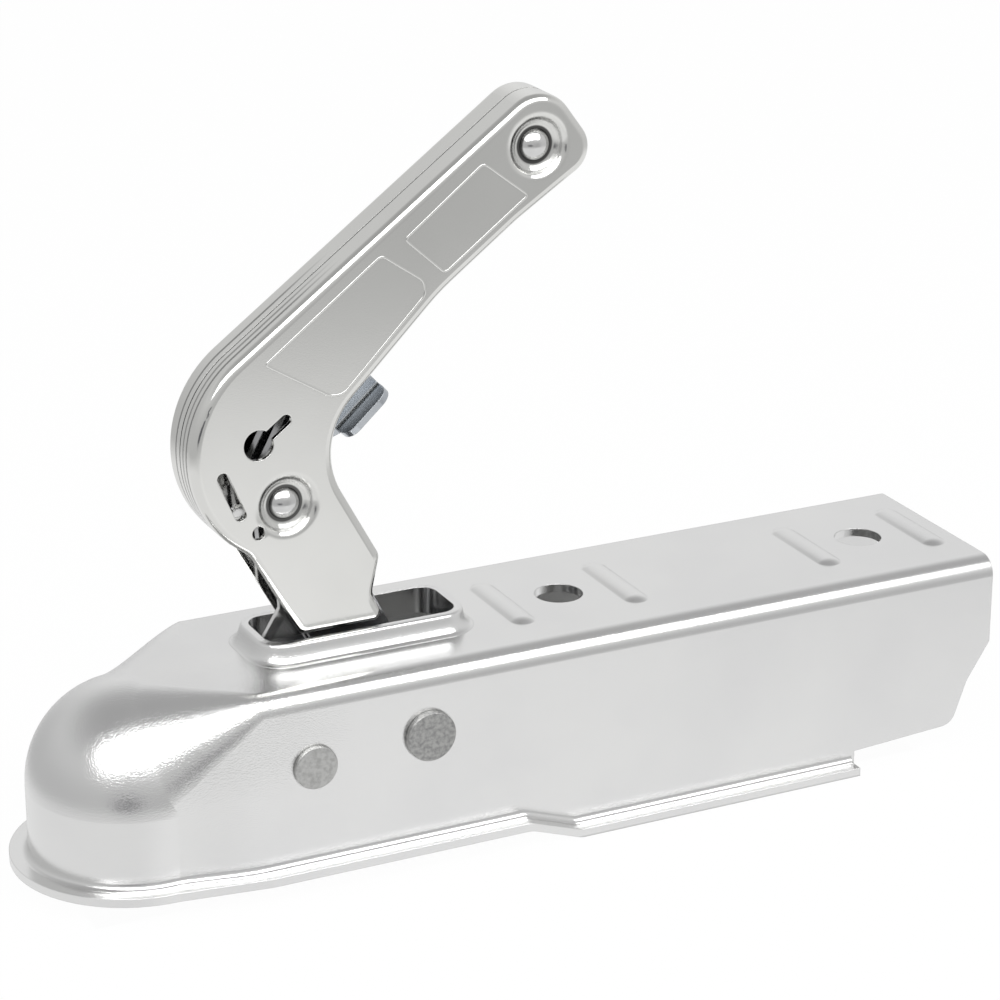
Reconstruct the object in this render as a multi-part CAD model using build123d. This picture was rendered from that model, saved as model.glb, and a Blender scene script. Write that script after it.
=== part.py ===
"""Pressed-steel trailer hitch: a ball cup that bolts onto a square drawbar, with its handle raised.

Millimetres. The origin is the tow ball's centre, +X runs back to the drawbar, +Z is up, and the
near side is at -Y. Every sub-part is a solid of its own, written to parts/NODE.step.
"""

import os
from math import cos, radians, sin, tan

from build123d import *

# Housing: one pressed sheet
sheet = 2.5
channel_width = 60.0
top_height = 30.5
rear_margin = 26.5
ball_radius = 25.0
cup_play = 1.5
top_bend = 5.5
nose_start = -3.0
nose_blend = 26.0
nose_stations = 5
nose_shrink = 0.985
flange_reach = 5.2
flange_bend = 1.8
flange_inner_bend = 4.0
front_skirt = 22.2
joggle_start = 103.5
joggle_length = 15.5
joggle_drop = 5.4
flange_corner = 6.0
tail_rise = 28.0
tail_length = 46.5

# Collar round the handle window
window_lead = 36.8
window_length = 56.8
window_half_width = 10.0
window_corner = 5.0
collar_height = 5.4
collar_wall = 2.0
collar_foot = 1.6
collar_lip = 0.9

# Bolt holes and cross ribs in the top
first_hole = 130.5
hole_pitch = 100.0
bolt_hole_radius = 7.0
rib_offset = 18.0
rib_length = 30.0
rib_width = 5.0
rib_height = 0.8

# Cross pins, each with a flat head on both side walls
jaw_x = 40.5
jaw_below_top = 22.0
jaw_pin_radius = 4.0
jaw_head_radius = 6.2
jaw_head_height = 1.5
lever_x = 74.5
lever_below_top = 19.5
lever_pin_radius = 4.0
lever_head_radius = 7.2
lever_head_height = 2.0
head_edge = 0.5
running_gap = 0.05
side_gap = 0.2

# Travel from the raised handle to the closed one
lever_swing = 42.0
jaw_swing = 21.0

# Lever: two dished shells outside, two plates inside, measured across from the middle
handle_half_width = 9.0
shell_sheet = 1.5
shell_bend = 2.4
seam = 0.5
plate_inside = 2.2
plate_thickness = 3.0
hub_radius = 11.0

# Handle rivets, sunk in round dimples
rivet_shank = 3.2
rivet_head_radius = 4.5
rivet_head_height = 2.6
dimple_radius = 8.7
dimple_floor_radius = 5.9
dimple_boss = 7.2
dimple_rim = 1.0
dimple_foot = 0.8
tube_radius = 5.0

# Openings in the handle's shells
keyhole_radius = 4.3
keyhole_slot = 1.6
indicator_slot = 1.7
small_hole = 1.9

# Link from the lever's crank to the jaw
crank = 7.5
crank_pin_radius = 1.6
link_eye = 3.1
link_thickness = 3.8
jaw_eye = 4.0
jaw_link_pin_radius = 2.0
link_play = 0.4

# Jaw
jaw_half_width = 20.0
jaw_hub = 8.5
jaw_seat_play = 0.4
jaw_ear = 4.0
spacer_wall = 3.0

# Latch with its finger tab, and the pin that it turns on
latch_thickness = 1.9
latch_pin_radius = 2.5
latch_hub = 4.2
latch_arm = 2.4
tab_depth = 8.8
tab_length = 17.0
tab_thickness = 2.0
tab_corner = 4.0
tab_bend = 1.8
tab_inner_bend = 0.8

# Indicator pointer
pointer_thickness = 1.5
pointer_hub = 7.6
pointer_arm = 1.4

# Springs
lever_spring_wire = 2.2
lever_spring_turns = 5
jaw_spring_wire = 1.6
jaw_spring_turns = 3
latch_spring_wire = 0.7
latch_spring_turns = 3
coil_gap = 0.3
coil_pitch_ratio = 1.15
latch_spring_leg = 8.0

# Places on the lever, from its pivot: (along, up)
upper_rivet = (44.2, 154.1)
lower_rivet = (-30.6, 63.8)
keyhole = (-38.4, 82.1)
keyhole_end = (-30.5, 88.0)
slot_ends = ((-48.8, 74.2), (-44.1, 63.3))
small_hole_at = (-39.0, 57.2)
latch_pin = (-24.0, 75.5)
tab_middle = (-2.2, 82.1)
tab_angle = 42.1
latch_flank_reach = 5.0
latch_arm_ends = ((-15.8, 58.0), (-10.0, 44.5), (-10.0, 34.0), (-4.5, 25.0))
pointer_nose = (-42.0, 60.8)
pointer_tail = ((-28.8, 30.5), (-34.4, 21.6))

# Shell outline on the lever, as (along, up, corner radius), from the tang's front corner
shell_corners = (
    (-27.3, 25.0, 3.0),
    (-1.6, 25.0, 2.5),
    (-5.5, 33.3, 6.0),
    (-3.1, 44.5, 3.5),
    (-22.1, 79.4, 22.0),
    (15.5, 116.8, 60.0),
    (38.5, 134.0, 40.0),
    (63.5, 150.2, 8.0),
    (47.2, 172.6, 11.0),
    (-81.0, 78.35, 33.0),
    (-41.5, 50.7, 7.0),
)

# Jaw's claw outline from its pivot, drawn closed, as (along, up, corner radius)
claw_corners = (
    (-14.0, 7.0, 3.0),
    (8.5, 3.5, 4.0),
    (6.0, -11.5, 6.0),
    (-5.0, -24.0, 6.0),
    (-15.5, -28.0, 2.0),
    (-22.0, -26.0, 1.0),
)

# Region where the shells keep no inner rim: the tang and the grip's inner side
rimless_corners = (
    (80.0, 158.0, 0.0),
    (53.5, 152.0, 0.0),
    (-14.5, 102.0, 0.0),
    (-29.5, 84.0, 0.0),
    (-29.5, 69.0, 0.0),
    (-43.5, 58.0, 0.0),
    (-60.0, 40.0, 0.0),
    (-40.0, 10.0, 0.0),
    (80.0, 10.0, 0.0),
)

# Inner plate outline above its hub
plate_corners = (
    (hub_radius, 0.0, 0.0),
    (0.0, 24.0, 5.0),
    (-4.6, 33.0, 5.0),
    (-5.6, 44.2, 3.0),
    (-20.3, 70.0, 12.0),
    (-18.2, 90.0, 4.0),
    (-28.0, 90.0, 4.0),
    (-39.0, 70.0, 6.0),
    (-37.2, 51.0, 6.0),
    (-24.8, 26.0, 8.0),
    (-hub_radius, 0.0, 0.0),
)

# How far off a straight comparison may be
touch = 0.02

# Worked out from the sizes above
half_width = channel_width / 2 + sheet
channel_half = channel_width / 2
cup_radius = ball_radius + cup_play
ceiling = top_height - sheet
jaw_z = top_height - jaw_below_top
lever_z = top_height - lever_below_top
window_front = lever_x - window_lead
rear_skirt = front_skirt + joggle_drop
deep = rear_skirt + sheet
second_hole = first_hole + hole_pitch
rear_end = second_hole + rear_margin
flange_end = rear_end - tail_length
window_middle = window_front + window_length / 2
rib_places = (first_hole - rib_offset, first_hole + rib_offset, second_hole - rib_offset, second_hole + rib_offset)
jaw_hinge = (jaw_x, 0, jaw_z)
shell_inside = handle_half_width - shell_sheet
plate_outside = plate_inside + plate_thickness
dimple_depth = shell_inside - plate_outside
jaw_crank = crank * sin(radians(lever_swing / 2)) / sin(radians(jaw_swing / 2))
crank_pin = (-crank * sin(radians(lever_swing / 2)), crank * cos(radians(lever_swing / 2)))
jaw_link_closed = (jaw_crank * sin(radians(jaw_swing / 2)), jaw_crank * cos(radians(jaw_swing / 2)))
jaw_link_open = (-jaw_link_closed[0], jaw_link_closed[1])


def on_lever(point):
    """A place given from the lever's pivot, as (x, z) in the hitch."""
    return lever_x + point[0], lever_z + point[1]


def on_jaw(point):
    """A place given from the jaw's pivot, as (x, z) in the hitch."""
    return jaw_x + point[0], jaw_z + point[1]


def side_face(corners):
    """Face in the XZ plane through (x, z, radius) corners, each rounded by its radius."""
    points = [Vector(x, 0, z) for x, z, _ in corners]
    starts, ends, arcs = [], [], []
    for index, (_, _, radius) in enumerate(corners):
        here = points[index]
        back = (points[index - 1] - here).normalized()
        ahead = (points[(index + 1) % len(points)] - here).normalized()
        if radius == 0:
            starts.append(here)
            ends.append(here)
            continue
        half_angle = radians(back.get_angle(ahead) / 2)
        inward = (back + ahead).normalized()
        reach = radius / tan(half_angle)
        middle = here + inward * (radius / sin(half_angle) - radius)
        starts.append(here + back * reach)
        ends.append(here + ahead * reach)
        arcs.append(ThreePointArc(starts[-1], middle, ends[-1]))
    lines = [Line(end, starts[(index + 1) % len(starts)]) for index, end in enumerate(ends)]
    return make_face(Wire(arcs + lines))


def slab(face, low_y, high_y):
    """The face drawn across from low_y to high_y."""
    return Pos(0, low_y, 0) * extrude(face, amount=high_y - low_y, dir=(0, 1, 0))


def lever_slab(corners, low_y, high_y):
    """A slab whose corners are given from the lever's pivot."""
    placed = [(*on_lever((along, up)), radius) for along, up, radius in corners]
    return slab(side_face(placed), low_y, high_y)


def cross_rod(place, radius, low_y, high_y):
    """Cylinder across the hitch at (x, z)."""
    length = high_y - low_y
    return Pos(place[0], (low_y + high_y) / 2, place[1]) * Rot(90, 0, 0) * Cylinder(radius, length)


def strap(places, half, low_y, high_y):
    """Flat bar of round-ended straight runs through the (x, z) places."""
    bar = cross_rod(places[0], half, low_y, high_y)
    for start, end in zip(places, places[1:]):
        along = Vector(end[0] - start[0], 0, end[1] - start[1])
        across = Vector(along.Z, 0, -along.X).normalized() * half
        first, last = Vector(start[0], 0, start[1]), Vector(end[0], 0, end[1])
        run = Polyline(first + across, last + across, last - across, first - across, close=True)
        bar += slab(make_face(run), low_y, high_y) + cross_rod(end, half, low_y, high_y)
    return bar


def coil(place, inner_radius, wire, turns, low_y, leg_length):
    """Helical wire round the cross axis at (x, z), with a straight leg up from its last turn."""
    radius = inner_radius + wire / 2
    pitch = wire * coil_pitch_ratio
    axis = Plane(origin=(place[0], low_y + wire / 2, place[1]), x_dir=(-1, 0, 0), z_dir=(0, 1, 0))
    path = Helix(pitch, pitch * turns, radius)
    leg = Line(path @ 1, (path @ 1) + (path % 1) * leg_length)
    section = Plane(path @ 0, z_dir=path % 0) * Circle(wire / 2)
    end_section = Plane(path @ 1, z_dir=path % 1) * Circle(wire / 2)
    return axis * (sweep(section, path) + sweep(end_section, leg))


def mirrored(solid):
    """The same sub-part on the far side."""
    return mirror(solid, about=Plane.XZ)


def housing_section(x, half, top, corner, low):
    """Channel section across the hitch at x, rounded at its two top corners."""
    plane = Plane(origin=(x, 0, 0), x_dir=(0, 1, 0), z_dir=(1, 0, 0))
    block = Pos(0, (top + low) / 2) * Rectangle(2 * half, top - low)
    rounded = fillet(block.vertices().group_by(Axis.Y)[-1], corner)
    return plane * rounded


def envelope(inset, low, end):
    """The housing's outer form, or its hollow when inset by the sheet."""
    nose = cup_radius + sheet - inset
    half, top, bend = half_width - inset, top_height - inset, top_bend - inset
    first = nose * nose_shrink
    sections = []
    for station in range(nose_stations + 1):
        share = station / nose_stations
        ease = share * share * (3 - 2 * share)
        corner = nose * (1 - share) + bend * share
        width = first + (half - first) * ease
        height = first + (top - first) * ease
        x = nose_start + (nose_blend - nose_start) * share
        sections.append(housing_section(x, width, height, min(corner, first * nose_shrink), low))
    blend = loft(sections)
    box = extrude(housing_section(nose_blend, half, top, bend, low), amount=end - nose_blend, dir=(1, 0, 0))
    wall = Pos(0, 0, low / 2) * Cylinder(nose, -low)
    return Sphere(nose) + wall + blend + box


def skirt_line(drop):
    """The lower edge's corners from the nose to the flange's end, lowered by drop."""
    return (
        (-2 * half_width, -front_skirt - drop, 0),
        (joggle_start, -front_skirt - drop, flange_corner),
        (joggle_start + joggle_length, -rear_skirt - drop, flange_corner),
    )


def flange():
    """Outward lip round the nose and along both sides, with its step down behind the jaw."""
    lower = skirt_line(0) + ((flange_end, -rear_skirt, 0),)
    upper = skirt_line(-sheet) + ((flange_end, sheet - rear_skirt, 0),)
    reach = half_width + flange_reach
    band = slab(side_face(lower + upper[::-1]), -reach, reach)
    nose = cup_radius + sheet + flange_reach
    plan = Pos(0, 0, -deep) * extrude(flange_plan(nose, reach), amount=deep)
    return band & plan


def flange_plan(nose, reach):
    """Plan outline of the flange: round nose widening to straight sides."""
    side = Pos((nose_blend + flange_end) / 2, 0) * Rectangle(flange_end - nose_blend, 2 * reach)
    wedge = make_face(
        Polyline((0, -nose), (nose_blend, -reach), (nose_blend, reach), (0, nose), close=True)
    )
    return Circle(nose) + wedge + side


def below_skirt():
    """Everything under the housing's lower edge, for trimming the walls."""
    tail_start = flange_end + 1.0
    rear_low = -front_skirt + 0.2
    corners = skirt_line(0) + (
        (tail_start, -rear_skirt, 0),
        (tail_start, rear_low, 0),
        (tail_start + 0.72 * tail_length, rear_low + 2.0, 5),
        (tail_start + 0.82 * tail_length, -7.0, 10),
        (tail_start + tail_length, rear_low + tail_rise, 0),
        (rear_end + half_width, rear_low + tail_rise, 0),
        (rear_end + half_width, -2 * deep, 0),
        (-2 * half_width, -2 * deep, 0),
    )
    return slab(side_face(corners), -2 * half_width, 2 * half_width)


def window_plan(grow):
    """The handle window's plan, grown outward by grow."""
    return RectangleRounded(
        window_length + 2 * grow, 2 * (window_half_width + grow), window_corner + grow
    )


def collar():
    """Raised rim drawn up round the handle window."""
    rim = extrude(window_plan(collar_wall), amount=collar_height + sheet / 2)
    rim = fillet(rim.edges().group_by(Axis.Z)[-1], collar_lip)
    return Pos(window_middle, 0, top_height - sheet / 2) * rim


def rib(x):
    """One shallow ridge pressed across the top."""
    ridge = Rot(0, 0, 90) * extrude(SlotOverall(rib_length, rib_width), amount=rib_height + sheet / 2)
    ridge = fillet(ridge.edges().group_by(Axis.Z)[-1], rib_height * 0.8)
    return Pos(x, 0, top_height - sheet / 2) * ridge


def edges_within(body, low, high):
    """Edges of the body that lie wholly in the box from low to high."""
    found = []
    for edge in body.edges():
        box = edge.bounding_box()
        above = all(value >= limit - touch for value, limit in zip(box.min, low))
        below = all(value <= limit + touch for value, limit in zip(box.max, high))
        if above and below:
            found.append(edge)
    return found


def housing():
    """The pressed sheet: shell, flange, collar, ribs and holes."""
    body = envelope(0, -deep, rear_end) - below_skirt() + flange()
    low = (-half_width, -half_width, sheet - rear_skirt)
    high = (flange_end, half_width, sheet - front_skirt)
    body = fillet(edges_within(body, low, high), flange_bend)
    body += collar()
    side, reach = window_half_width + collar_wall, window_length / 2 + collar_wall
    low = (window_middle - reach, -side, top_height)
    high = (window_middle + reach, side, top_height)
    body = fillet(edges_within(body, low, high), collar_foot)
    for x in rib_places:
        body += rib(x)
    body -= envelope(sheet, -2 * deep, rear_end + sheet)
    low, high = (-cup_radius, -channel_half, -rear_skirt), (rear_end, channel_half, -front_skirt)
    body = fillet(edges_within(body, low, high), flange_inner_bend)
    body -= Pos(window_middle, 0, 0) * extrude(window_plan(0), amount=top_height + 2 * collar_height)
    for x in (first_hole, second_hole):
        body -= Pos(x, 0, top_height) * Cylinder(bolt_hole_radius, 4 * sheet)
    for place, radius in (((jaw_x, jaw_z), jaw_pin_radius), ((lever_x, lever_z), lever_pin_radius)):
        body -= cross_rod(place, radius, -2 * half_width, 2 * half_width)
    return body


def cross_pin(place, radius, head_radius, head_height):
    """Cross pin with a flat riveted head outside each wall."""
    head = cross_rod(place, head_radius, -half_width - head_height, -half_width)
    head = fillet(head.edges().group_by(Axis.Y)[0], head_edge)
    return cross_rod(place, radius, -half_width, half_width) + head + mirrored(head)


def spacer(place, pin_radius, inner_y):
    """Tube on a cross pin from inner_y to the near wall."""
    tube = cross_rod(place, pin_radius + spacer_wall, -channel_half, -inner_y)
    return tube - cross_rod(place, pin_radius, -channel_half, -inner_y)


def dimple(place):
    """The cone pressed into the near shell round a rivet, outside the sheet."""
    outer = -handle_half_width
    cone = Cone(dimple_radius, dimple_floor_radius, dimple_depth)
    return Pos(place[0], outer + dimple_depth / 2, place[1]) * Rot(-90, 0, 0) * cone


def circles_at(body, place, y, radius):
    """The body's round edges of that radius about (x, y, z)."""
    middle = Vector(place[0], y, place[1])
    circles = body.edges().filter_by(GeomType.CIRCLE)
    return [c for c in circles if abs(c.radius - radius) < touch and (c.arc_center - middle).length < touch]


def handle_shell():
    """Near half of the handle: a dished sheet with its rim turned in along the spine."""
    outer = lever_slab(shell_corners, -handle_half_width, -seam / 2)
    outer = fillet(outer.edges().group_by(Axis.Y)[0], shell_bend)
    inner_face = offset(side_face([(*on_lever((a, b)), r) for a, b, r in shell_corners]), -shell_sheet)
    shell = outer - slab(inner_face, -shell_inside, 0)
    shell -= lever_slab(rimless_corners, -shell_inside, 0)
    for place in (on_lever(upper_rivet), on_lever(lower_rivet)):
        boss = cross_rod(place, dimple_boss, -shell_inside, -plate_outside)
        shell += boss
        shell -= dimple(place)
        shell = fillet(circles_at(shell, place, -handle_half_width, dimple_radius), dimple_rim)
        shell = fillet(circles_at(shell, place, -plate_outside - shell_sheet, dimple_floor_radius), dimple_foot)
        shell -= cross_rod(place, rivet_shank, -handle_half_width, 0)
    shell -= strap([on_lever(keyhole), on_lever(keyhole_end)], keyhole_slot, -2 * handle_half_width, 0)
    shell -= cross_rod(on_lever(keyhole), keyhole_radius, -2 * handle_half_width, 0)
    shell -= strap([on_lever(end) for end in slot_ends], indicator_slot, -2 * handle_half_width, 0)
    shell -= cross_rod(on_lever(small_hole_at), small_hole, -2 * handle_half_width, 0)
    return shell


def lever_plate():
    """Near inner plate, from its hub on the lever's pin up past the bend."""
    near, inner = -plate_outside, -plate_inside
    plate = lever_slab(plate_corners, near, inner)
    plate += cross_rod((lever_x, lever_z), hub_radius, near, inner)
    holes = (
        ((0, 0), lever_pin_radius + running_gap),
        (crank_pin, crank_pin_radius),
        (lower_rivet, rivet_shank),
        (latch_pin, latch_pin_radius),
    )
    for place, radius in holes:
        plate -= cross_rod(on_lever(place), radius, near, inner)
    return plate


def handle_rivet(place):
    """Rivet through the handle, with a domed head in each dimple."""
    seat = plate_outside + shell_sheet
    sphere_radius = (rivet_head_radius**2 + rivet_head_height**2) / (2 * rivet_head_height)
    ball = Pos(place[0], -seat - rivet_head_height + sphere_radius, place[1]) * Sphere(sphere_radius)
    dome = ball & cross_rod(place, rivet_head_radius, -seat - rivet_head_height, -seat)
    return cross_rod(place, rivet_shank, -seat, seat) + dome + mirrored(dome)


def handle_tube(place, reach):
    """Spacer tube round a handle rivet, as long as the gap that it keeps open."""
    return cross_rod(place, tube_radius, -reach, reach) - cross_rod(place, rivet_shank, -reach, reach)


def link_bar():
    """Bar between the lever's crank pin and the jaw's ears."""
    ends = [on_lever(crank_pin), on_jaw(jaw_link_open)]
    half = link_thickness / 2
    bar = strap(ends, link_eye * 0.8, -half, half)
    bar += cross_rod(ends[0], link_eye, -half, half) + cross_rod(ends[1], jaw_eye, -half, half)
    bar -= cross_rod(ends[0], crank_pin_radius + running_gap, -half, half)
    return bar - cross_rod(ends[1], jaw_link_pin_radius + link_play, -half, half)


def ball_jaw():
    """Claw that closes behind and under the ball, drawn closed and turned open about its pin."""
    claw = side_face([(*on_jaw((along, up)), radius) for along, up, radius in claw_corners])
    jaw = slab(claw, -jaw_half_width, jaw_half_width)
    jaw -= Rot(0, 0, 180) * Sphere(ball_radius + jaw_seat_play)
    jaw += cross_rod((jaw_x, jaw_z), jaw_hub, -jaw_half_width, jaw_half_width)
    ear_inside = link_thickness / 2 + side_gap
    ears = strap([(jaw_x, jaw_z), on_jaw(jaw_link_closed)], jaw_eye, -ear_inside - jaw_ear, ear_inside + jaw_ear)
    slot_low = jaw_z + jaw_hub
    slot_top = slot_low + jaw_crank + jaw_eye
    ears -= Pos(jaw_x, 0, (slot_top + slot_low) / 2) * Box(6 * jaw_eye, 2 * ear_inside, slot_top - slot_low)
    jaw += ears
    jaw -= cross_rod((jaw_x, jaw_z), jaw_pin_radius + running_gap, -half_width, half_width)
    jaw -= cross_rod(on_jaw(jaw_link_closed), jaw_link_pin_radius, -half_width, half_width)
    return jaw.rotate(Axis(jaw_hinge, (0, 1, 0)), -jaw_swing)


def latch():
    """Catch plate on the far side, with its finger tab under the grip and its arm down to the window."""
    low, high = plate_outside + side_gap, plate_outside + side_gap + latch_thickness
    along = (cos(radians(tab_angle)), sin(radians(tab_angle)))
    out = (along[1], -along[0])
    half = tab_length / 2
    upper_end = (tab_middle[0] + half * along[0], tab_middle[1] + half * along[1])
    lower_end = (tab_middle[0] - half * along[0], tab_middle[1] - half * along[1])
    inward = tab_depth + latch_flank_reach
    flank = (
        (*lower_end, 0.5),
        (*upper_end, 0.5),
        (upper_end[0] - inward * out[0], upper_end[1] - inward * out[1], 3.0),
        (latch_pin[0], latch_pin[1] + latch_hub, 2.0),
        (latch_pin[0], latch_pin[1] - latch_hub, 2.0),
    )
    plate = lever_slab(flank, low, high)
    plate += cross_rod(on_lever(latch_pin), latch_hub, low, high)
    arm = [on_lever(place) for place in (latch_pin, *latch_arm_ends)]
    plate += strap(arm, latch_arm, low, high)
    x, z = on_lever(tab_middle)
    tab_plane = Plane(origin=(x, high, z), x_dir=(along[0], 0, along[1]), z_dir=(-out[0], 0, -out[1]))
    tab_face = Pos(0, -tab_depth / 2) * Rectangle(tab_length, tab_depth)
    tab_face = fillet(tab_face.vertices().group_by(Axis.Y)[0], tab_corner)
    plate += extrude(tab_plane * tab_face, amount=tab_thickness)
    for y, radius in ((high, tab_bend), (low, tab_inner_bend)):
        plate = fillet(tab_folds(plate, y), radius)
    return plate - cross_rod(on_lever(latch_pin), latch_pin_radius + running_gap, low, high)


def tab_folds(plate, y):
    """Straight edges at y that are as long as the finger tab."""
    lines = plate.edges().filter_by(GeomType.LINE)
    across = [e for e in lines if abs(e.center().Y - y) < touch and abs(e.length - tab_length) < touch]
    return [e for e in across if abs((e % 0).Y) < touch]


def indicator_pointer():
    """Thin pointer round the lower tube, with a nose behind the slot and a tail in the window."""
    half = pointer_thickness / 2
    pivot = on_lever(lower_rivet)
    pointer = cross_rod(pivot, pointer_hub, -half, half)
    pointer += strap([pivot, on_lever(pointer_nose)], pointer_arm, -half, half)
    tail = [pivot] + [on_lever(place) for place in pointer_tail]
    pointer += strap(tail, pointer_arm, -half, half)
    return pointer - cross_rod(pivot, tube_radius + running_gap, -half, half)


def latch_spring():
    """Small coil on the latch's pin, between the inner plates."""
    length = latch_spring_wire * (coil_pitch_ratio * latch_spring_turns + 1)
    inner = latch_pin_radius + coil_gap
    return coil(on_lever(latch_pin), inner, latch_spring_wire, latch_spring_turns, -length / 2, latch_spring_leg)


def lever_spring():
    """Coil round the far lever spacer."""
    inner = lever_pin_radius + spacer_wall + coil_gap
    low_y = plate_outside + 2 * spacer_wall
    leg = ceiling - lever_z - coil_gap
    return coil((lever_x, lever_z), inner, lever_spring_wire, lever_spring_turns, low_y, leg)


def jaw_spring():
    """Coil round the far jaw spacer."""
    inner = jaw_pin_radius + spacer_wall + coil_gap
    low_y = jaw_half_width + 2 * side_gap
    leg = ceiling - jaw_z - top_bend / 2
    return coil((jaw_x, jaw_z), inner, jaw_spring_wire, jaw_spring_turns, low_y, leg)


def build():
    """Every sub-part by its node name."""
    shell, plate = handle_shell(), lever_plate()
    jaw_tube = spacer((jaw_x, jaw_z), jaw_pin_radius, jaw_half_width + side_gap)
    lever_tube = spacer((lever_x, lever_z), lever_pin_radius, plate_outside + side_gap)
    ear_reach = link_thickness / 2 + side_gap + jaw_ear
    latch_reach = plate_outside + side_gap + latch_thickness + side_gap
    return {
        "housing": housing(),
        "jaw_rivet": cross_pin((jaw_x, jaw_z), jaw_pin_radius, jaw_head_radius, jaw_head_height),
        "lever_rivet": cross_pin((lever_x, lever_z), lever_pin_radius, lever_head_radius, lever_head_height),
        "jaw_spacer_near": jaw_tube,
        "jaw_spacer_far": mirrored(jaw_tube),
        "lever_spacer_near": lever_tube,
        "lever_spacer_far": mirrored(lever_tube),
        "ball_jaw": ball_jaw(),
        "jaw_link_pin": cross_rod(on_jaw(jaw_link_open), jaw_link_pin_radius, -ear_reach, ear_reach),
        "link_bar": link_bar(),
        "lever_link_pin": cross_rod(on_lever(crank_pin), crank_pin_radius, -plate_outside, plate_outside),
        "lever_plate_near": plate,
        "lever_plate_far": mirrored(plate),
        "handle_shell_near": shell,
        "handle_shell_far": mirrored(shell),
        "handle_rivet_upper": handle_rivet(on_lever(upper_rivet)),
        "handle_rivet_lower": handle_rivet(on_lever(lower_rivet)),
        "handle_tube_upper": handle_tube(on_lever(upper_rivet), plate_outside),
        "handle_tube_lower": handle_tube(on_lever(lower_rivet), plate_inside),
        "latch": latch(),
        "latch_pin": cross_rod(on_lever(latch_pin), latch_pin_radius, -plate_outside, latch_reach),
        "latch_spring": latch_spring(),
        "indicator_pointer": indicator_pointer(),
        "lever_spring": lever_spring(),
        "jaw_spring": jaw_spring(),
    }


os.makedirs("parts", exist_ok=True)
for node, solid in build().items():
    export_step(solid, f"parts/{node}.step")
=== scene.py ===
"""The looks of a pressed-steel trailer hitch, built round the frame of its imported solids.

Metres, in the frame's own axes: the origin is the tow ball's centre, +X runs back along the drawbar,
+Z is up and the near side is at -Y.
"""

import math

import bpy
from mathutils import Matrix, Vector


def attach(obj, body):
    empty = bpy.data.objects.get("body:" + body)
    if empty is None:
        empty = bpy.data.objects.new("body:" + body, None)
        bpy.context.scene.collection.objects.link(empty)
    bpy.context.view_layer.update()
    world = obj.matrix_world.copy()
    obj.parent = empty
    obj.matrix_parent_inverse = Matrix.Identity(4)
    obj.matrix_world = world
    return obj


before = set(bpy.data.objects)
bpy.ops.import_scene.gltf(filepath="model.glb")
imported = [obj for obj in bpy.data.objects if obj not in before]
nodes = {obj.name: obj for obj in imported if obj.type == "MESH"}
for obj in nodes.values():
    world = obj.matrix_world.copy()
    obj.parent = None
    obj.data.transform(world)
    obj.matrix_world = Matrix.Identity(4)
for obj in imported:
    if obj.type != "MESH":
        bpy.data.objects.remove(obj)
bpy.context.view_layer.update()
bpy.ops.object.select_all(action="DESELECT")
scene = bpy.context.scene
scene.view_settings.view_transform = "Standard"


# Camera: where the photograph was taken from, a long lens a little above the hitch and off its
# nose. Place, turn and lens were solved from the photograph's own straight edges.
camera_place = (-0.28309, -0.79933, 0.39986)
camera_turn = (69.2485, -0.0642, -26.2692)
camera_lens = 122.72
camera_sensor = 36.0
camera_nearest = 0.05
camera_farthest = 20.0

bpy.ops.object.camera_add(location=camera_place, rotation=[math.radians(a) for a in camera_turn])
camera = bpy.context.object
camera.name = "camera"
camera.data.lens = camera_lens
camera.data.sensor_width = camera_sensor
camera.data.clip_start = camera_nearest
camera.data.clip_end = camera_farthest
scene.camera = camera


# Studio: a white table, a pale room and one broad softbox in front of the hitch and above it. The
# zinc mirrors the softbox in its bends, and the dimmer walls and ceiling as the grey bands beside it.
white = (1, 1, 1, 1)
floor_height = -0.0276
floor_size = 12.0
floor_white = (0.93, 0.93, 0.925, 1)
floor_glow = 0.98
shade_start = -0.022
shade_end = 0.235
shade_half = 0.0295
shade_lift = 0.0001
softbox_place = (-0.05, -0.63, 0.835)
softbox_size = (1.85, 0.62)
softbox_power = 10.5
room_front = (
    (-1.0, 0.94),
    (-0.360, 0.93),
    (-0.345, 0.90),
    (-0.325, 0.73),
    (-0.307, 0.52),
    (-0.28, 0.49),
    (-0.10, 0.50),
    (0.07, 0.54),
    (0.21, 0.60),
    (0.36, 0.72),
    (0.50, 0.95),
    (0.64, 0.80),
    (0.77, 0.50),
    (0.87, 0.42),
)
room_side = (
    (-1.0, 0.88),
    (-0.40, 0.88),
    (-0.36, 0.86),
    (-0.26, 0.66),
    (-0.10, 0.64),
    (0.09, 0.67),
    (0.34, 0.72),
    (0.57, 0.64),
    (0.77, 0.50),
    (0.94, 0.42),
)
room_left = (
    (-1.0, 0.85),
    (-0.40, 0.84),
    (-0.34, 0.72),
    (-0.25, 0.54),
    (0.0, 0.55),
    (0.25, 0.60),
    (0.45, 0.66),
    (0.60, 0.58),
    (0.77, 0.46),
    (0.94, 0.40),
)
room_back = (
    (-1.0, 0.80),
    (-0.42, 0.82),
    (-0.26, 0.72),
    (0.09, 0.77),
    (0.34, 0.84),
    (0.57, 0.80),
    (0.68, 0.69),
    (0.77, 0.56),
    (0.94, 0.42),
)
room_turns = (
    (room_side, "Y", -0.95, -0.60),
    (room_back, "Y", 0.30, 0.85),
    (room_left, "X", 0.30, -0.30),
)
room_fill = (0.55, 0.55, 0.55, 1)
dark_stand = (-0.42, -0.90, -0.105)
dark_stand_stretch = (3.0, 3.0, 9.0)
dark_stand_edge = (0.55, 1.05)
dark_stand_grey = (0.12, 0.12, 0.13, 1)


def fill(tree, socket, value):
    """Gives an input its value, or joins it to the output that brings one."""
    if isinstance(value, bpy.types.NodeSocket):
        tree.links.new(value, socket)
    else:
        socket.default_value = value


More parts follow.
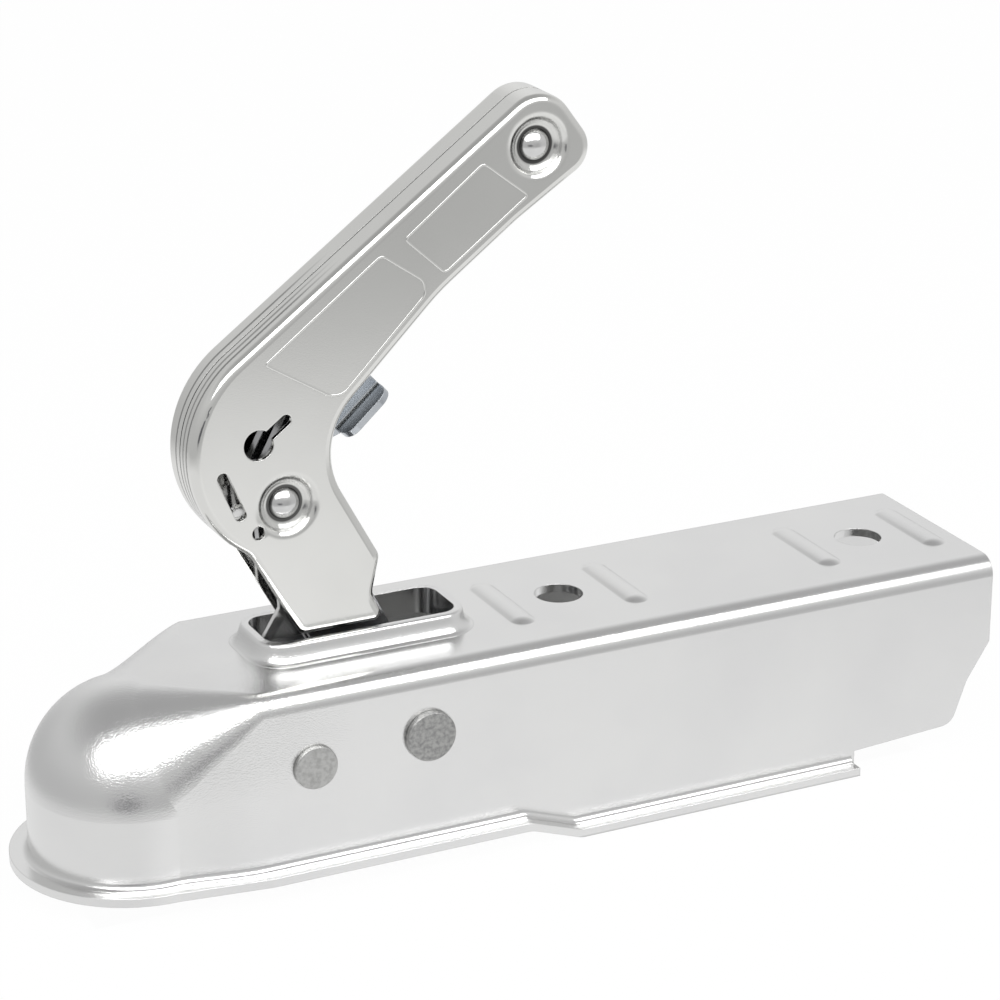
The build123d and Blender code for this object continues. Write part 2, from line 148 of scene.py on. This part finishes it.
def reckon(tree, operation, *values):
    """One step of arithmetic."""
    node = tree.nodes.new("ShaderNodeMath")
    node.operation = operation
    for socket, value in zip(node.inputs, values):
        fill(tree, socket, value)
    return node.outputs["Value"]


def reckon_place(tree, operation, *values, output="Vector"):
    """One step of arithmetic on places or directions."""
    node = tree.nodes.new("ShaderNodeVectorMath")
    node.operation = operation
    for socket, value in zip(node.inputs, values):
        fill(tree, socket, value)
    return node.outputs[output]


def grade(tree, value, start, end, low=0.0, high=1.0, soft=False):
    """Grades a value from low, at start, to high, at end."""
    node = tree.nodes.new("ShaderNodeMapRange")
    node.interpolation_type = "SMOOTHSTEP" if soft else "LINEAR"
    node.inputs["From Min"].default_value = start
    node.inputs["From Max"].default_value = end
    node.inputs["To Min"].default_value = low
    node.inputs["To Max"].default_value = high
    tree.links.new(value, node.inputs["Value"])
    return node.outputs["Result"]


def blend(tree, share, first, second):
    """Blends two colours, with the given share of the second."""
    node = tree.nodes.new("ShaderNodeMix")
    node.data_type = "RGBA"
    fill(tree, node.inputs["Factor"], share)
    fill(tree, node.inputs["A"], first)
    fill(tree, node.inputs["B"], second)
    return node.outputs["Result"]


def axes(tree, place):
    """Splits a place or direction into its three axes."""
    node = tree.nodes.new("ShaderNodeSeparateXYZ")
    tree.links.new(place, node.inputs["Vector"])
    return node.outputs


def wall_levels(tree, levels, height):
    """Greys up a wall of the room, from (sine of the height angle, level) pairs."""
    ramp = tree.nodes.new("ShaderNodeValToRGB")
    elements = ramp.color_ramp.elements
    elements.remove(elements[1])
    for index, (sine, level) in enumerate(levels):
        position = (sine + 1) / 2
        element = elements[0] if index == 0 else elements.new(position)
        element.position = position
        element.color = (level, level, level, 1)
    tree.links.new(height, ramp.inputs["Fac"])
    return ramp.outputs["Color"]


def make_floor():
    """The table: white to the camera, with the hitch's soft shadow, and not mirrored by the metal."""
    bpy.ops.mesh.primitive_plane_add(size=floor_size, location=(0, 0, floor_height))
    floor = bpy.context.object
    floor.name = "floor"
    floor.visible_glossy = False
    paint = bpy.data.materials.new("studio_floor")
    paint.use_nodes = True
    tree = paint.node_tree
    tree.nodes.clear()
    plain = tree.nodes.new("ShaderNodeBsdfDiffuse")
    plain.inputs["Color"].default_value = floor_white
    glow = tree.nodes.new("ShaderNodeEmission")
    seen = tree.nodes.new("ShaderNodeMixShader")
    seen.inputs["Fac"].default_value = floor_glow
    tree.links.new(plain.outputs["BSDF"], seen.inputs[1])
    tree.links.new(glow.outputs["Emission"], seen.inputs[2])
    rays = tree.nodes.new("ShaderNodeLightPath")
    pick = tree.nodes.new("ShaderNodeMixShader")
    tree.links.new(rays.outputs["Is Camera Ray"], pick.inputs["Fac"])
    tree.links.new(plain.outputs["BSDF"], pick.inputs[1])
    tree.links.new(seen.outputs["Shader"], pick.inputs[2])
    out = tree.nodes.new("ShaderNodeOutputMaterial")
    tree.links.new(pick.outputs["Shader"], out.inputs["Surface"])
    floor.data.materials.append(paint)


def make_shaded_table():
    """The stretch of table under the hitch, which its inside mirrors and which no camera sees."""
    bpy.ops.mesh.primitive_plane_add(size=1)
    shade = bpy.context.object
    shade.name = "shaded_table"
    shade.scale = (shade_end - shade_start, 2 * shade_half, 1)
    shade.location = ((shade_start + shade_end) / 2, 0, floor_height + shade_lift)
    bpy.ops.object.transform_apply(location=True, rotation=True, scale=True)
    cloth = bpy.data.materials.new("shaded_table")
    cloth.use_nodes = True
    matt = cloth.node_tree.nodes["Principled BSDF"]
    matt.inputs["Base Color"].default_value = floor_white
    matt.inputs["Roughness"].default_value = 1.0
    matt.inputs["Specular IOR Level"].default_value = 0.0
    shade.data.materials.append(cloth)
    shade.visible_camera = False


def make_room():
    """The room: white to the camera, and pale walls with a dark camera stand to the metal."""
    room = bpy.data.worlds.new("studio_room")
    scene.world = room
    room.use_nodes = True
    tree = room.node_tree
    tree.nodes.clear()
    direction = tree.nodes.new("ShaderNodeTexCoord").outputs["Generated"]
    bearing = axes(tree, direction)
    height = grade(tree, bearing["Z"], -1.0, 1.0)
    walls = wall_levels(tree, room_front, height)
    for levels, axis, start, end in room_turns:
        turn = grade(tree, bearing[axis], start, end, soft=True)
        walls = blend(tree, turn, walls, wall_levels(tree, levels, height))
    offset = reckon_place(tree, "SUBTRACT", direction, dark_stand)
    stretched = reckon_place(tree, "MULTIPLY", offset, dark_stand_stretch)
    reach = reckon_place(tree, "LENGTH", stretched, output="Value")
    walls = blend(tree, grade(tree, reach, *dark_stand_edge, soft=True), dark_stand_grey, walls)
    rays = tree.nodes.new("ShaderNodeLightPath").outputs
    mirrored = reckon(tree, "MAXIMUM", rays["Is Glossy Ray"], rays["Is Transmission Ray"])
    lit = blend(tree, mirrored, room_fill, walls)
    light = tree.nodes.new("ShaderNodeBackground")
    tree.links.new(blend(tree, rays["Is Camera Ray"], lit, white), light.inputs["Color"])
    out = tree.nodes.new("ShaderNodeOutputWorld")
    tree.links.new(light.outputs["Background"], out.inputs["Surface"])


make_floor()
make_shaded_table()
make_room()
bpy.ops.object.light_add(type="AREA", location=softbox_place)
softbox = bpy.context.object
softbox.name = "softbox"
softbox.rotation_euler = Vector(softbox_place).to_track_quat("Z", "X").to_euler()
softbox.data.shape = "RECTANGLE"
softbox.data.size = softbox_size[1]
softbox.data.size_y = softbox_size[0]
softbox.data.energy = softbox_power
softbox.visible_camera = False


# Housing: one sheet of steel, pressed into a ball cup and an open channel, then zinc plated. The
# plate is bright and satin, with the fine grain of the pressed sheet under it.
zinc_colour = (0.83, 0.83, 0.825)
zinc_shade = (0.80, 0.80, 0.80)
zinc_roughness = 0.17
zinc_grain = 0.00003
grain_size = 3600.0
grain_detail = 2.0
cup_grain_size = 2000.0
cup_grain_detail = 3.0
cup_grain_depth = 2.8
cup_grain_run = (0.060, 0.030)
cup_grain_rise = (-0.004, 0.012)
cloud_size = 22.0
cloud_detail = 4.0
cloud_spread = (0.35, 0.60)
polish_spread = (0.30, 0.70)
dull_roughness = 1.06
bright_roughness = 0.94
edge_round = 0.00035
edge_samples = 4
# Painted shade in crevices: how far the occlusion looks, how dark the shade is painted, and its
# samples.
crevice_shade_reach = 0.0014
crevice_shade_level = 0.30
crevice_shade_samples = 8
# Occlusion levels at which the painted crevice shade begins, on open sheet and on tight fits.
open_sheet = 0.68
tight_fit = 0.95


def object_place(tree):
    """A point's own place on the hitch."""
    return tree.nodes.new("ShaderNodeTexCoord").outputs["Object"]


def noise_at(tree, place, size, detail):
    """Noise through the metal, from 0 to 1; a larger size is a finer noise."""
    noise = tree.nodes.new("ShaderNodeTexNoise")
    noise.inputs["Scale"].default_value = size
    noise.inputs["Detail"].default_value = detail
    tree.links.new(place, noise.inputs["Vector"])
    return noise.outputs["Fac"]


def node_of(tree, kind):
    """The one node of its kind in a finish."""
    return next(node for node in tree.nodes if node.type == kind)


def darken(tree, level):
    """Dims a finish's colour to a level, to paint shade into it."""
    colour = tree.nodes["Principled BSDF"].inputs["Base Color"]
    dimmed = tree.nodes.new("ShaderNodeVectorMath")
    dimmed.operation = "SCALE"
    tree.links.new(colour.links[0].from_socket, dimmed.inputs[0])
    tree.links.new(level, dimmed.inputs["Scale"])
    tree.links.new(dimmed.outputs["Vector"], colour)


def plated_steel(name, colour, shade, roughness, grain, cloud=cloud_size, crevices=open_sheet):
    """Plated steel: clouded colour, uneven polish, fine grain, soft edges and painted shade darkening
    its crevices.
    """
    paint = bpy.data.materials.new(name)
    paint.use_nodes = True
    tree = paint.node_tree
    steel = tree.nodes["Principled BSDF"]
    steel.inputs["Metallic"].default_value = 1.0
    place = object_place(tree)
    clouds = noise_at(tree, place, cloud, cloud_detail)
    tone = blend(tree, grade(tree, clouds, *cloud_spread), (*shade, 1), (*colour, 1))
    tree.links.new(tone, steel.inputs["Base Color"])
    # Painted shade: the colour is darkened where occlusion finds metal close by, in crevices and
    # between parts.
    crevice = tree.nodes.new("ShaderNodeAmbientOcclusion")
    crevice.samples = crevice_shade_samples
    crevice.inputs["Distance"].default_value = crevice_shade_reach
    darken(tree, grade(tree, crevice.outputs["AO"], crevices / 2, crevices, low=crevice_shade_level))
    dull = roughness * dull_roughness
    bright = roughness * bright_roughness
    tree.links.new(grade(tree, clouds, *polish_spread, dull, bright), steel.inputs["Roughness"])
    rounded = tree.nodes.new("ShaderNodeBevel")
    rounded.samples = edge_samples
    rounded.inputs["Radius"].default_value = edge_round
    bump = tree.nodes.new("ShaderNodeBump")
    bump.inputs["Distance"].default_value = grain
    tree.links.new(noise_at(tree, place, grain_size, grain_detail), bump.inputs["Height"])
    tree.links.new(rounded.outputs["Normal"], bump.inputs["Normal"])
    tree.links.new(bump.outputs["Normal"], steel.inputs["Normal"])
    return paint


def dress(paint, *names):
    """Gives CAD nodes their finish."""
    for name in names:
        nodes[name].data.materials.clear()
        nodes[name].data.materials.append(paint)


def raise_grain(tree, height, depth):
    """Adds a height, times its depth, to a finish's grain."""
    grain = node_of(tree, "BUMP").inputs["Height"]
    tree.links.new(reckon(tree, "MULTIPLY_ADD", height, depth, grain.links[0].from_socket), grain)


def coarsen_cup(paint):
    """Makes the grain coarser over the ball cup's dome, where pressing has stretched the sheet most."""
    tree = paint.node_tree
    place = object_place(tree)
    along = axes(tree, place)
    peel = noise_at(tree, place, cup_grain_size, cup_grain_detail)
    for axis, run in (("X", cup_grain_run), ("Z", cup_grain_rise)):
        peel = reckon(tree, "MULTIPLY", peel, grade(tree, along[axis], *run, soft=True))
    raise_grain(tree, peel, cup_grain_depth)


sheet_finish = plated_steel("zinc_sheet", zinc_colour, zinc_shade, zinc_roughness, zinc_grain)
coarsen_cup(sheet_finish)
dress(sheet_finish, "housing")


# Collar foot: the housing's own zinc-plated sheet, drawn up round the handle window. It flares out
# below the collar's rim before it meets the top, in one soft sweep all round. The profile's pairs
# are millimetres, out from the window's edge and up from the origin.
window_middle = 0.0661
window_half = (0.0284, 0.0100)
window_corner = 0.0050
millimetres = 1000
flare_corner_steps = 10
flare_merge = 0.000001
flare_smooth = math.radians(50)
flare_profile = (
    (1.00, 30.30),
    (1.00, 35.50),
    (1.08, 35.89),
    (1.25, 35.92),
    (1.50, 35.91),
    (1.85, 35.83),
    (2.15, 35.65),
    (2.40, 35.30),
    (2.55, 34.85),
    (2.75, 34.15),
    (3.05, 33.25),
    (3.45, 32.35),
    (3.90, 31.60),
    (4.35, 31.10),
    (4.80, 30.80),
    (5.20, 30.65),
    (5.50, 30.58),
    (5.60, 30.48),
    (5.60, 30.30),
)


def make_flare():
    """Rings of the profile carried round the window's rounded outline, closed underneath."""
    around = 4 * (flare_corner_steps + 1)
    across = len(flare_profile)
    bpy.ops.mesh.primitive_grid_add(x_subdivisions=around, y_subdivisions=across - 1)
    flare = bpy.context.object
    flare.name = "collar_flare"
    for index, vertex in enumerate(flare.data.vertices):
        row, column = divmod(index, around + 1)
        quarter, step = divmod(column % around, flare_corner_steps + 1)
        turn = math.radians(90) * (quarter + step / flare_corner_steps)
        grow, z = (value / millimetres for value in flare_profile[row])
        side_x = 1 if quarter in (0, 3) else -1
        side_y = 1 if quarter in (0, 1) else -1
        x = window_middle + side_x * (window_half[0] - window_corner)
        y = side_y * (window_half[1] - window_corner)
        reach = window_corner + grow
        vertex.co = (x + reach * math.cos(turn), y + reach * math.sin(turn), z)
    bpy.ops.object.mode_set(mode="EDIT")
    bpy.ops.mesh.select_all(action="SELECT")
    bpy.ops.mesh.remove_doubles(threshold=flare_merge)
    bpy.ops.mesh.select_all(action="DESELECT")
    bpy.ops.mesh.select_non_manifold()
    bpy.ops.mesh.bridge_edge_loops()
    bpy.ops.mesh.select_all(action="SELECT")
    bpy.ops.mesh.normals_make_consistent(inside=False)
    bpy.ops.object.mode_set(mode="OBJECT")
    bpy.ops.object.shade_smooth_by_angle(angle=flare_smooth)
    flare.data.materials.append(sheet_finish)
    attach(flare, "hitch")


make_flare()


# Top ribs: four rounded ridges pressed up across the top in the housing's own zinc-plated sheet, two
# beside each bolt hole. Each swells out of it with a soft foot. The first is copied for the others.
rib_top = 0.0305
rib_places = (0.1125, 0.1485, 0.2125, 0.2485)
rib_half_run = 0.0125
rib_half_width = 0.0041
rib_height = 0.00118
rib_foot = 0.16
rib_foot_power = 1.6
rib_sink = 0.00002
rib_back = -0.0004
rib_rings = 14
rib_corners = 48
rib_smooth = math.radians(40)


def model_rib():
    """One ridge across the origin: rings of a long oval, each raised to the ridge's round section."""
    bpy.ops.mesh.primitive_circle_add(vertices=rib_corners, fill_type="NGON")
    ridge = bpy.context.object
    for index, vertex in enumerate(ridge.data.vertices):
        turn = math.tau * (index + 0.5) / rib_corners
        end = math.copysign(rib_half_run, math.sin(turn))
        vertex.co = (rib_half_width * math.cos(turn), end + rib_half_width * math.sin(turn), 0)
    bpy.ops.object.mode_set(mode="EDIT")
    bpy.ops.mesh.select_all(action="SELECT")
    for _ in range(rib_rings):
        bpy.ops.mesh.inset(thickness=rib_half_width / (rib_rings + 1))
    bpy.ops.object.mode_set(mode="OBJECT")
    for vertex in ridge.data.vertices:
        past_end = max(abs(vertex.co.y) - rib_half_run, 0.0)
        share = min(math.hypot(vertex.co.x, past_end) / rib_half_width, 1.0)
        round_section = 1 - share**2
        soft_foot = 1 - math.exp(-(((1 - share) / rib_foot) ** rib_foot_power))
        vertex.co.z = rib_top - rib_sink + rib_height * round_section * soft_foot
    bpy.ops.object.mode_set(mode="EDIT")
    bpy.ops.mesh.select_all(action="DESELECT")
    bpy.ops.mesh.select_non_manifold()
    bpy.ops.mesh.extrude_region_move(TRANSFORM_OT_translate={"value": (0, 0, rib_back)})
    bpy.ops.mesh.edge_face_add()
    bpy.ops.mesh.select_all(action="SELECT")
    bpy.ops.mesh.normals_make_consistent(inside=False)
    bpy.ops.object.mode_set(mode="OBJECT")
    bpy.ops.object.shade_smooth_by_angle(angle=rib_smooth)
    ridge.data.materials.append(sheet_finish)
    return ridge


def place_rib(ridge, name, x):
    """Names a ridge, moves it to its place along the top and fixes it to the housing."""
    ridge.name = name
    bpy.ops.object.select_all(action="DESELECT")
    ridge.select_set(True)
    bpy.context.view_layer.objects.active = ridge
    ridge.location.x = x
    bpy.ops.object.transform_apply(location=True, rotation=True, scale=True)
    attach(ridge, "hitch")


ridges = [model_rib()]
for _ in rib_places[1:]:
    bpy.ops.object.duplicate()
    ridges.append(bpy.context.object)
for number, (ridge, x) in enumerate(zip(ridges, rib_places), 1):
    place_rib(ridge, f"top_rib_{number}", x)


# Cross pins: headed steel rivets that the jaw and the lever turn on, their flat heads left matt and
# pitted by the riveting tool. Each has a colour and its darker shade.
pin_roughness = 0.42
pin_grain = 0.00004
pin_blotches = 900.0
jaw_pin = ((0.58, 0.58, 0.57), (0.46, 0.46, 0.45))
lever_pin = ((0.48, 0.48, 0.47), (0.31, 0.31, 0.31))

dress(plated_steel("riveted_head", *jaw_pin, pin_roughness, pin_grain, pin_blotches), "jaw_rivet")
dress(plated_steel("pitted_head", *lever_pin, pin_roughness, pin_grain, pin_blotches), "lever_rivet")


# Inside works: tubes, link, pins, plates and pointer of plated bar and sheet, a cast jaw and drawn
# wire springs, seen only through the window and from below. Each finish is a colour, its darker
# shade, a roughness and a grain.
plain_bar = ((0.50, 0.51, 0.52), (0.40, 0.41, 0.42), 0.34, 0.000015)
inner_plate = ((0.52, 0.52, 0.53), (0.42, 0.42, 0.43), 0.24, 0.00001)
bright_strip = ((0.84, 0.84, 0.83), (0.78, 0.78, 0.78), 0.16, 0.000005)
jaw_casting = ((0.26, 0.26, 0.27), (0.18, 0.18, 0.19), 0.50, 0.0001)
spring_wire = ((0.42, 0.43, 0.45), (0.34, 0.35, 0.37), 0.30, 0.000005)

dress(
    plated_steel("plain_steel", *plain_bar),
    "jaw_spacer_near",
    "jaw_spacer_far",
    "lever_spacer_near",
    "lever_spacer_far",
    "link_bar",
    "lever_link_pin",
    "jaw_link_pin",
    "latch_pin",
    "handle_tube_upper",
    "handle_tube_lower",
)
dress(plated_steel("inner_plate", *inner_plate), "lever_plate_near", "lever_plate_far")
dress(plated_steel("bright_strip", *bright_strip), "indicator_pointer")
dress(plated_steel("jaw_casting", *jaw_casting), "ball_jaw")
dress(plated_steel("spring_wire", *spring_wire), "lever_spring", "jaw_spring", "latch_spring")


# Handle shells: two dished halves pressed from thinner steel sheet, plated a warmer satin than the
# housing. Two rivets hold them together, through round dimples at the grip's end and at the bend.
shell_colour = (0.80, 0.80, 0.78)
shell_shade = (0.76, 0.76, 0.74)
shell_roughness = 0.09
shell_grain = 0.000003
side_view = (1, 0, 1)
rivet_axes = ((0.1187, 0.1651), (0.0439, 0.0748))
# A ring of painted shade round each rivet's axis: where it starts and ends, its soft margin, its
# darkness and how it fades in.
rivet_ring_start = 0.0041
rivet_ring_end = 0.0052
rivet_ring_soft = 0.0003
rivet_ring_shade_level = 0.16
rivet_ring_fade = 0.2
dimple_edge = 0.0110
dimple_fade = 0.0015
dimple_round = 0.0017
dimple_samples = 8
# Painted shade lines along the plates' rims: (sideways place, darkness) pairs, also sunk as grooves in
# the grain; then where along the bend they run, their core and half width, and the groove depth.
rim_shade_lines = ((-0.0046, 0.62), (-0.0023, 0.50), (0.0028, 0.60))
rim_line_run = (0.064, 0.044)
rim_line_core = 0.0002
rim_line_half = 0.0006
rim_line_groove = -60.0


def rivet_reach(tree):
    """How far a point of the handle is from the axis of the nearer handle rivet."""
    flat = reckon_place(tree, "MULTIPLY", object_place(tree), side_view)
    reaches = [reckon_place(tree, "DISTANCE", flat, (x, 0, z), output="Value") for x, z in rivet_axes]
    return reckon(tree, "MINIMUM", *reaches)


def soften_dimples(paint):
    """Rounds the rims of the rivets' dimples more softly than the sheet's other edges."""
    tree = paint.node_tree
    rounded = node_of(tree, "BEVEL")
    rounded.samples = dimple_samples
    inside = dimple_edge - dimple_fade
    radius = grade(tree, rivet_reach(tree), dimple_edge, inside, edge_round, dimple_round, soft=True)
    tree.links.new(radius, rounded.inputs["Radius"])


def ring_shade(paint):
    """Paints shade on the narrow ring where a rivet's head is set against its dimple."""
    tree = paint.node_tree
    start = rivet_ring_start - rivet_ring_soft
    end = rivet_ring_end + rivet_ring_soft
    ring = tree.nodes.new("ShaderNodeFloatCurve")
    curve = ring.mapping.curves[0]
    curve.points[0].location = (0, 1)
    curve.points[1].location = (1, 1)
    curve.points.new(rivet_ring_fade, rivet_ring_shade_level)
    curve.points.new(1 - rivet_ring_fade, rivet_ring_shade_level)
    for point in curve.points:
        point.handle_type = "VECTOR"
    ring.mapping.update()
    tree.links.new(grade(tree, rivet_reach(tree), start, end), ring.inputs["Value"])
    darken(tree, ring.outputs["Value"])


def shade_rim_grooves(paint):
    """Sets off the rims of the pressed plates, which lie side by side along the back of the bend, with
    thin grooves in the grain and painted shade darkening the colour along them.
    """
    tree = paint.node_tree
    place = axes(tree, object_place(tree))
    along = grade(tree, place["X"], *rim_line_run, soft=True)
    for y, depth in rim_shade_lines:
        off_line = reckon(tree, "ABSOLUTE", reckon(tree, "SUBTRACT", place["Y"], y))
        line = grade(tree, off_line, rim_line_half, rim_line_core, high=depth, soft=True)
        drawn = reckon(tree, "MULTIPLY", line, along)
        # Painted shade: the colour is darkened along each line.
        darken(tree, reckon(tree, "SUBTRACT", 1.0, drawn))
        raise_grain(tree, drawn, rim_line_groove)


shell_finish = plated_steel(
    "zinc_handle",
    shell_colour,
    shell_shade,
    shell_roughness,
    shell_grain,
    crevices=tight_fit,
)
# Painted shade: a dark ring where each rivet head meets its dimple.
ring_shade(shell_finish)
soften_dimples(shell_finish)
# Painted shade: dark lines along the plates' rims, over grooves in the grain.
shade_rim_grooves(shell_finish)
dress(shell_finish, "handle_shell_near", "handle_shell_far")


# Handle frames: two shallow raised outlines, pressed out of the near shell's zinc-plated face from
# behind. The sheet inside them is plain.
frame_face = -0.009
frame_line = 0.0008
frame_rise = 0.00011
frame_sink = 0.00025
frame_corner = 0.0016
frame_corner_steps = 5
frame_edge = frame_line / 3
frame_edge_steps = 3
frame_smooth = math.radians(50)
upper_frame = ((0.1025, 0.1629), (0.1165, 0.1520), (0.0910, 0.1330), (0.0787, 0.1443))
lower_frame = (
    (0.0724, 0.1413),
    (0.0851, 0.1324),
    (0.0856, 0.1281),
    (0.0612, 0.1035),
    (0.0571, 0.1033),
    (0.0378, 0.1151),
)


def raised_frame(name, corners):
    """A closed outline of a rounded polygon, standing a little proud of the handle's near face."""
    bpy.ops.mesh.primitive_circle_add(vertices=len(corners), fill_type="NGON")
    outline = bpy.context.object
    outline.name = name
    for vertex, (x, z) in zip(outline.data.vertices, corners):
        vertex.co = (x, frame_face + frame_sink, z)
    bpy.ops.object.mode_set(mode="EDIT")
    bpy.ops.mesh.select_all(action="SELECT")
    bpy.ops.mesh.bevel(offset=frame_corner, segments=frame_corner_steps, affect="VERTICES")
    bpy.ops.mesh.select_all(action="SELECT")
    bpy.ops.mesh.inset(thickness=frame_line)
    bpy.ops.mesh.delete(type="FACE")
    bpy.ops.mesh.select_all(action="SELECT")
    bpy.ops.mesh.normals_make_consistent(inside=False)
    bpy.ops.object.mode_set(mode="OBJECT")
    solid = outline.modifiers.new("rise", "SOLIDIFY")
    solid.thickness = 2 * (frame_sink + frame_rise)
    solid.offset = 0
    bpy.ops.object.modifier_apply(modifier="rise")
    softened = outline.modifiers.new("softened", "BEVEL")
    softened.width = frame_edge
    softened.segments = frame_edge_steps
    bpy.ops.object.modifier_apply(modifier="softened")
    bpy.ops.object.shade_smooth_by_angle(angle=frame_smooth)
    outline.data.materials.append(shell_finish)
    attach(outline, "lever")


raised_frame("handle_frame_upper", upper_frame)
raised_frame("handle_frame_lower", lower_frame)


# Handle rivets: steel rivets with bright plated, domed heads, sunk in the shells' round dimples.
# They hold the two shells together.
head_colour = (0.80, 0.80, 0.79)
head_shade = (0.64, 0.64, 0.64)
head_roughness = 0.12
head_grain = 0.000015

head_finish = plated_steel(
    "bright_rivet",
    head_colour,
    head_shade,
    head_roughness,
    head_grain,
    crevices=tight_fit,
)
# Painted shade: a dark ring round the foot of each head, where it meets its dimple.
ring_shade(head_finish)
dress(head_finish, "handle_rivet_upper", "handle_rivet_lower")


# Latch: a steel plate with its finger tab folded over, plated in a bluer zinc than the rest. It
# turns on a pin between the shells.
latch_colour = (0.62, 0.65, 0.68)
latch_shade = (0.50, 0.53, 0.57)
latch_roughness = 0.20
latch_grain = 0.000003
latch_clouds = 60.0

latch_finish = plated_steel(
    "blue_zinc",
    latch_colour,
    latch_shade,
    latch_roughness,
    latch_grain,
    latch_clouds,
)
dress(latch_finish, "latch")
